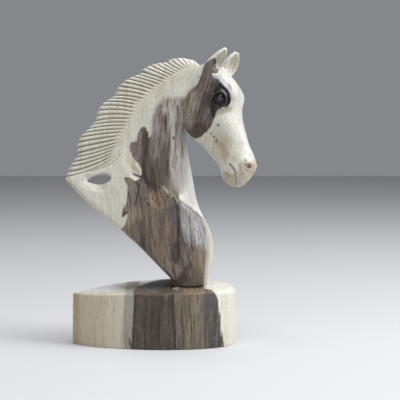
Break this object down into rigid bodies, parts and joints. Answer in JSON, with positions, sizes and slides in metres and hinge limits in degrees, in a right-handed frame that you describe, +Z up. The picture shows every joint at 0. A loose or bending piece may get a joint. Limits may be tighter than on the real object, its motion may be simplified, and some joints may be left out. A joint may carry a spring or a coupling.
{
  "type": "horse head sculpture",
  "caption": "Carved wooden horse head on an arched neck with a grooved mane, its head turned to one side, rising from a low base with one pointed end.",
  "frame": {"origin": "on the flat underside of the base, at the middle of its length", "axes": "+Z up, +X the way the horse's neck faces, -Y the horse's right, to which its head is turned"},
  "size_m": [0.1275, 0.0668, 0.1976],
  "materials": {
    "hibiscus_wood": "sanded and waxed, satin"
  },
  "bodies": {
    "root": {"horse_head_carving": "hibiscus_wood"}
  },
  "joints": []
}
